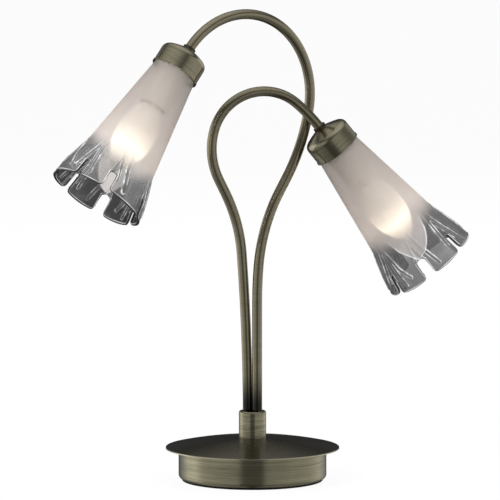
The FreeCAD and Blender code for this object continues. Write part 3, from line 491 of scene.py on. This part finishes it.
def hairpin_ribs(H, u, rng, rib, raised):
    """Add the hairpins drawn on each petal to the ribs."""
    thick = 1.45 * smooth(H, 122.0, 150.0) + 0.35
    for k, numbers in enumerate(HAIRPIN_SETS):
        for number in numbers:
            shift = rng.uniform(-0.025, 0.025)
            path = [(a + shift - 0.5, h + rng.uniform(-1.5, 1.5)) for a, h in HAIRPINS[number]]
            distance = near_path(H, u - k - 0.5, path)
            rib = np.minimum(rib, distance / thick)
            stand = 0.95 * smooth(H, 122.0, 140.0) * np.exp(-(distance / thick) ** 4)
            raised = np.maximum(raised, stand)
    return rib, raised


def tongue_inside(H, u):
    """How far inside the etched tongue each point lies, in millimetres; below 0 outside it."""
    across = u - TONGUE_NOTCH
    low, high = np.interp(H, *TONGUE_LOW), np.interp(H, *TONGUE_HIGH)
    inside = np.minimum(across + low, high - across) * STEP * profile(H) * 0.75
    inside = np.where(H > TONGUE_TIP, np.minimum(inside, TONGUE_TIP - H), inside)
    return np.maximum(FAR_OFF, np.where(H < TONGUE_TOP, FAR_OFF, inside))


def shade_fields(grid, head):
    """The fields that the glass material reads, how far ribs stand out and how far the wall moves."""
    H, place = grid.H, grid.theta / STEP
    rng = np.random.default_rng(head["seed"])
    centres, halves = notch_places(head)
    u = np.interp(place, centres, np.arange(PETALS + 1.0))
    u = np.where(place > centres[-1], place - centres[-1] + PETALS, u)
    nearest = np.floor(u + 0.5).astype(int)
    from_notch = np.abs(place - centres[nearest]) * STEP * profile(H)
    across = np.abs(u - np.floor(u) - 0.5) * 2.0

    rib, raised = hairpin_ribs(H, u, rng, *notch_ribs(H, u, rng))
    wedge = np.clip((H - NOTCH_ROOT) / 22.5, 0.0, 1.3) * 4.6
    fold = -1.5 * np.clip(1.0 - from_notch / np.maximum(wedge, 0.3), 0.0, 1.0) * smooth(H, NOTCH_ROOT, 156.0)
    drawn_in = -1.7 * smooth(H, 118.0, 172.0) * across ** 3
    sway = 0.25 * np.sin(u * STEP * 3.0 + 0.7) * smooth(H, 120.0, 175.0)
    wave = 2.5 * np.sin(u * STEP * 2.0 + 1.0) + 3.0 * across ** 2
    slot = np.hypot(np.maximum(from_notch - halves[nearest], 0.0), np.maximum(NOTCH_TOP - H, 0.0))
    fields = {
        "rib": rib,
        "tongue": tongue_inside(H, u),
        "frost_soft": 1.0 - smooth(H + wave * 0.6 - per_petal(head["frost"], u), 121.0, 141.0),
        "rim": np.minimum(RIM - H, slot),
        "height": H,
        # how dark each petal's clear glass is painted: painted reflection and shade
        "reflection_dark": per_petal(head["reflection_dark"], u),
    }
    return fields, raised, fold + drawn_in + sway


NECK_FIELDS = {"rib": 3.0, "tongue": FAR_OFF, "frost_soft": 1.0, "rim": 60.0, "height": 18.0, "reflection_dark": 0.5}


def head_points(head, neck, radius, height, theta):
    """World places, in metres, of one face: the neck's rings, then the wall's rows."""
    axis = Vector(head["axis"]).normalized()
    up = Vector((0, 0, 1))
    side = (up - axis * up.dot(axis)).normalized()
    basis = np.array([list(side), list(axis.cross(side)), list(axis)])
    r = np.vstack([np.full((1, radius.shape[1]), ring[0]) for ring in neck] + [radius])
    h = np.vstack([np.full((1, radius.shape[1]), ring[1]) for ring in neck] + [height])
    a = np.vstack([theta[:1]] * len(neck) + [theta]) + math.radians(head["turn"])
    local = np.stack([r * np.cos(a), r * np.sin(a), h], -1).reshape(-1, 3)
    return (local @ basis + np.array(head["entry"])) * MM


def wall_quads(grid, index, last_ring):
    """One face of the wall: whole rings down to the notches, then petal by petal."""
    beside = grid.in_petal & grid.in_petal[grid.next] & (grid.number == grid.number[grid.next])
    quads = []
    for row in range(len(index) - 1):
        here = np.arange(grid.columns) if row < last_ring else np.where(beside)[0]
        there = grid.next[here]
        quads.append(np.stack([index[row, here], index[row, there],
                               index[row + 1, there], index[row + 1, here]], 1))
    return np.concatenate(quads)


def open_edge(grid, index, last_ring):
    """The free edge, round each petal and over each notch, and the point inside the wall from each."""
    last = len(index) - 1
    loop, inward = [], []
    for k in range(PETALS):
        mine = np.where(grid.in_petal & (grid.number == k))[0]
        gap = np.where(~grid.in_petal & (grid.number == k))[0]
        down = [(row, mine[0]) for row in range(last_ring + 1, last + 1)]
        rim = [(last, column) for column in mine[1:-1]]
        back = [(row, mine[-1]) for row in range(last, last_ring, -1)]
        arch = [(last_ring, column) for column in (mine[-1], *gap, grid.next[gap[-1]])]
        loop += [index[at] for at in down + rim + back + arch]
        inward += [index[min(row, last - 1), mine[1]] for row, _ in down]
        inward += [index[last - 1, column] for _, column in rim]
        inward += [index[min(row, last - 1), mine[-2]] for row, _ in back]
        inward += [index[last_ring - 1, column] for _, column in arch]
    return np.array(loop), np.array(inward)


def unit(vectors):
    return vectors / np.linalg.norm(vectors, axis=1, keepdims=True)


def edge_bead(outer_pts, inner_pts, loop, inward):
    """The fire-polished bead that closes the open edge: its points, rim values and quads."""
    total, size = len(outer_pts), len(loop)
    centre = (outer_pts[loop] + inner_pts[loop]) / 2
    across = outer_pts[loop] - centre
    away = centre - (outer_pts[inward] + inner_pts[inward]) / 2
    away = unit(away - unit(across) * np.sum(away * unit(across), 1, keepdims=True))
    away = unit(np.roll(away, 1, 0) + away * 2 + np.roll(away, -1, 0))
    points, rims = [], []
    for number in range(1, BEAD_STEPS):
        turn = math.pi * number / BEAD_STEPS
        points.append(centre + across * math.cos(turn) + away * BEAD * MM * math.sin(turn))
        rims.append(np.full(size, -BEAD * math.sin(turn)))
    rings = [loop, *[2 * total + n * size + np.arange(size) for n in range(BEAD_STEPS - 1)], loop + total]
    after = np.roll(np.arange(size), -1)
    quads = [np.stack([a[after], a, b, b[after]], 1) for a, b in zip(rings, rings[1:])]
    return points, rims, quads


def quad_mesh(name, verts, faces, fields):
    mesh = bpy.data.meshes.new(name)
    mesh.vertices.add(len(verts))
    mesh.vertices.foreach_set("co", verts.astype(np.float32).ravel())
    mesh.loops.add(faces.size)
    mesh.loops.foreach_set("vertex_index", faces.astype(np.int32).ravel())
    mesh.polygons.add(len(faces))
    mesh.polygons.foreach_set("loop_start", np.arange(0, faces.size, 4, dtype=np.int32))
    mesh.polygons.foreach_set("loop_total", np.full(len(faces), 4, np.int32))
    mesh.update(calc_edges=True)
    mesh.validate()
    mesh.polygons.foreach_set("use_smooth", np.ones(len(mesh.polygons), bool))
    for key, value in fields.items():
        layer = mesh.attributes.new(key, "FLOAT", "POINT")
        layer.data.foreach_set("value", value.astype(np.float32))
    return mesh


def build_shade(name, material):
    """One glass shade: an outer and an inner face, joined by the neck's hole and the beaded open edge."""
    head = HEADS[name]
    grid = ShadeGrid(head)
    fields, raised, moved = shade_fields(grid, head)
    H = grid.H
    lip = 0.35 * np.exp(-(np.maximum(fields["rim"], 0.0) / 1.6) ** 2)
    lift = np.where(H < 30.0, 2.6 * (1 - smooth(H, 19.0, 30.0)), 0.0)
    face = profile(H) - CLEARANCE + moved
    outer_pts = head_points(head, NECK_OUT, face + raised + lip, H, grid.theta)
    inner_pts = head_points(head, NECK_IN, face - WALL - lip, H + lift, grid.theta)

    extra, total = len(NECK_OUT), len(outer_pts)
    index = np.arange(total).reshape(-1, grid.columns)
    last_ring = extra + grid.whole_rows - 1
    quads = wall_quads(grid, index, last_ring)
    loop, inward = open_edge(grid, index, last_ring)
    bead_pts, bead_rims, bead_quads = edge_bead(outer_pts, inner_pts, loop, inward)
    top = index[0]
    hole = np.stack([top, top + total, top[grid.next] + total, top[grid.next]], 1)
    faces = np.concatenate([quads, quads[:, ::-1] + total, *bead_quads, hole])

    def spread(key, wall):
        """A field on both faces and round the bead, with one value on the neck."""
        full = np.vstack([np.full((extra, grid.columns), NECK_FIELDS[key]), wall]).ravel()
        bead = bead_rims if key == "rim" else [full[loop]] * (BEAD_STEPS - 1)
        return np.concatenate([full, full, *bead])

    spread_fields = {key: spread(key, wall) for key, wall in fields.items()}
    fade = [np.full(len(loop), 1.0 - n / BEAD_STEPS) for n in range(1, BEAD_STEPS)]
    spread_fields["outer"] = np.concatenate([np.ones(total), np.zeros(total), *fade])

    mesh = quad_mesh(name + "_tulip_shade", np.concatenate([outer_pts, inner_pts, *bead_pts]), faces,
                     spread_fields)
    mesh.materials.append(material)
    shade = bpy.data.objects.new(name + "_tulip_shade", mesh)
    bpy.context.scene.collection.objects.link(shade)
    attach(shade, name + "_shade")
    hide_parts(name + "_glass_shade")


# ---------------------------------------------------------------- carried-over pieces

def paint(node, material):
    mesh = frame["nodes"][node].data
    mesh.materials.clear()
    mesh.materials.append(material)


KHAKI, KHAKI_TUBE = (0.37, 0.345, 0.235), (0.36, 0.325, 0.225)
# the plate's brass is painted at about half the drum's tone: painted shade standing in for the dark
# surroundings its dome reflects
KHAKI_CAP, PLATE_KHAKI_DARKENED = (0.40, 0.37, 0.26), (0.19, 0.175, 0.12)
TUBE_DARK_SPAN = (0.075, 0.115)
PLATE_HIGHLIGHT_RIM = (0.0856, 0.0864)


def paint_all(glass):
    """Give every CAD piece a material by its slot in the record; the plate and collar get their own."""
    by_slot = {
        "antique_brass_base": brushed_brass("drum_brass", KHAKI, roughness=0.24, stretch=0.8),
        "antique_brass_tube": brushed_brass("tube_brass", KHAKI_TUBE, roughness=0.2, stretch=0.0, streak=0.6,
                                            wear=0.3, dark_below=TUBE_DARK_SPAN),
        "dark_bronze": plain("dark_bronze", (0.10, 0.09, 0.07), 0.35, 1.0, 600.0),
        "black_felt": plain("black_felt", (0.012, 0.012, 0.012), 0.95, 0.0, 2500.0, 0.0002, 0.4),
        "cast_iron": plain("cast_iron", (0.10, 0.10, 0.10), 0.6, 0.8, 300.0, 0.0003),
        "zinc_steel": plain("zinc_steel", (0.62, 0.63, 0.65), 0.35, 1.0, 500.0, 0.00005),
        "bright_brass": plain("bright_brass", (0.72, 0.55, 0.25), 0.25, 1.0, 500.0),
        "black_rubber": plain("black_rubber", (0.03, 0.03, 0.03), 0.7, 0.0, 700.0, 0.0001),
        "white_nylon": plain("white_nylon", (0.85, 0.84, 0.80), 0.45, 0.0, 500.0),
        "clear_flex": plain("clear_flex", (0.80, 0.78, 0.70), 0.35, 0.0, 400.0, 0.00005, 0.2, 0.2),
        "holder_plastic": plain("holder_plastic", (0.82, 0.80, 0.75), 0.5, 0.0, 500.0, 0.00005, 0.12),
        "ceramic": plain("ceramic", (0.88, 0.87, 0.83), 0.25, 0.0, 300.0, 0.00004, 0.12, 0.4),
        "nickel": plain("nickel", (0.70, 0.69, 0.66), 0.25, 1.0, 400.0, 0.00004),
        "filament": plain("filament", (0.85, 0.80, 0.70), 0.2, 0.0, 300.0),
    }
    for entry in frame["record"]["subparts"]:
        node, slot = entry["node"], entry["material_slot"]
        head = next((HEADS[p] for p in HEADS if node.startswith(p + "_")), None)
        if slot in by_slot:
            paint(node, by_slot[slot])
        elif slot == "antique_brass_cap":
            origin = Vector(head["entry"]) * MM
            paint(node, brushed_brass(node + "_brass", KHAKI_CAP, origin, head["axis"], roughness=0.2,
                                      stretch=0.7, streak=0.3))
        elif slot == "bulb_glass":
            origin = Vector(head["entry"]) * MM
            paint(node, bulb_material(node + "_lit", origin, Vector(head["axis"])))
        elif slot == "shade_glass":
            paint(node, glass)
    # the plate carries a painted highlight along its front rim
    paint("base_top_plate", brushed_brass("plate_brass", PLATE_KHAKI_DARKENED, lines="radius", roughness=0.24,
                                          stretch=0.9, streak=0.25, wear=0.2, highlight_rim=PLATE_HIGHLIGHT_RIM))
    paint("stem_collar", brushed_brass("collar_brass", KHAKI, roughness=0.18, stretch=0.7))


# ---------------------------------------------------------------- stage and light

FLOOR_SIZE, FLOOR_DROP = 12.0, 0.0004
LAMP_MIDDLE = Vector((0, 0, 0.25))
# bearing in degrees about the lamp, 0 towards the camera, and how bright the studio is there
SCREENS = [(-180, 0.03), (-158, 0.15), (-138, 0.5), (-120, 1.05), (-102, 1.15), (-84, 0.65), (-50, 0.5),
           (-22, 0.42), (-15, 0.14), (15, 0.14), (22, 0.42), (60, 0.5), (100, 0.62), (128, 0.85),
           (150, 0.4), (166, 0.1), (180, 0.03)]
OVERHEAD = [(0.2, 0.05), (0.45, 0.06), (0.75, 0.55), (1.0, 0.8)]
# name, place, size in metres and power in watts
LIGHTS = [("key", (-1.4, -1.6, 1.9), 1.2, 45.0), ("fill", (1.7, -1.3, 1.4), 1.4, 25.0),
          ("rear", (0.2, 1.8, 1.6), 1.4, 20.0)]


def make_stage():
    """A pale floor that glows softly, so that only the lamp's shadow shows on it."""
    bpy.ops.mesh.primitive_plane_add(size=FLOOR_SIZE, location=(0.0, 0.0, -FLOOR_DROP))
    floor = bpy.context.object
    floor.name = "studio_floor"
    material, tree = new_material("studio_floor")
    place = tree.node("ShaderNodeTexCoord").outputs["Object"]
    tone = tree.mix(tree.span(tree.noise(place, 3.0), 0.3, 0.7), (0.93, 0.93, 0.93), (0.96, 0.96, 0.96))
    paper = tree.node("ShaderNodeBsdfDiffuse", {"Color": tone})
    light = tree.node("ShaderNodeEmission", {"Color": (1, 1, 1), "Strength": 1.0})
    close(tree, tree.blend(0.94, paper, light))
    floor.data.materials.append(material)
    floor.visible_glossy = False
    floor.visible_diffuse = False


def make_world():
    """White behind the lamp; a studio with bright and dark screens for what the metal reflects."""
    world = bpy.data.worlds.new("studio")
    bpy.context.scene.world = world
    world.use_nodes = True
    tree = Tree(world.node_tree)
    way = tree.node("ShaderNodeTexCoord").outputs["Generated"]
    parts = tree.node("ShaderNodeSeparateXYZ", {0: way})
    bearing = tree.math("ARCTAN2", parts.outputs[0], tree.math("MULTIPLY", parts.outputs[1], -1.0))
    turn = tree.math("ADD", tree.math("MULTIPLY", bearing, 0.5 / math.pi), 0.5)
    around = tree.ramp(turn, [(a / 360.0 + 0.5, v) for a, v in SCREENS])
    lift = parts.outputs[2]
    high = tree.span(lift, 0.2, 0.5)
    above = tree.ramp(lift, OVERHEAD)
    studio = tree.mix(high, around, above)
    low = tree.span(lift, -0.15, -0.6, 1.0, 0.45)
    studio = tree.vector("MULTIPLY", studio, tree.node("ShaderNodeCombineXYZ", {0: low, 1: low, 2: low}))
    paths = tree.node("ShaderNodeLightPath")
    seen = tree.math("MAXIMUM", paths.outputs["Is Camera Ray"], paths.outputs["Is Transmission Ray"])
    colour = tree.mix(seen, studio, (1.0, 1.0, 1.0))
    back = tree.node("ShaderNodeBackground", {"Color": colour, "Strength": 1.0})
    tree.node("ShaderNodeOutputWorld", {"Surface": back})


def make_lights():
    """Soft lights that shape the glass; the metal sees the studio's screens instead."""
    for name, place, size, power in LIGHTS:
        data = bpy.data.lights.new(name, "AREA")
        data.size = size
        data.energy = power
        light = bpy.data.objects.new(name, data)
        light.location = place
        light.rotation_euler = (Vector(place) - LAMP_MIDDLE).to_track_quat("Z", "Y").to_euler()
        light.visible_glossy = False
        bpy.context.scene.collection.objects.link(light)


make_camera()
make_stage()
make_world()
make_lights()
glass = shade_material("tulip_glass")
for head_name in HEADS:
    build_shade(head_name, glass)
paint_all(glass)
bpy.context.scene.view_settings.view_transform = "Standard"
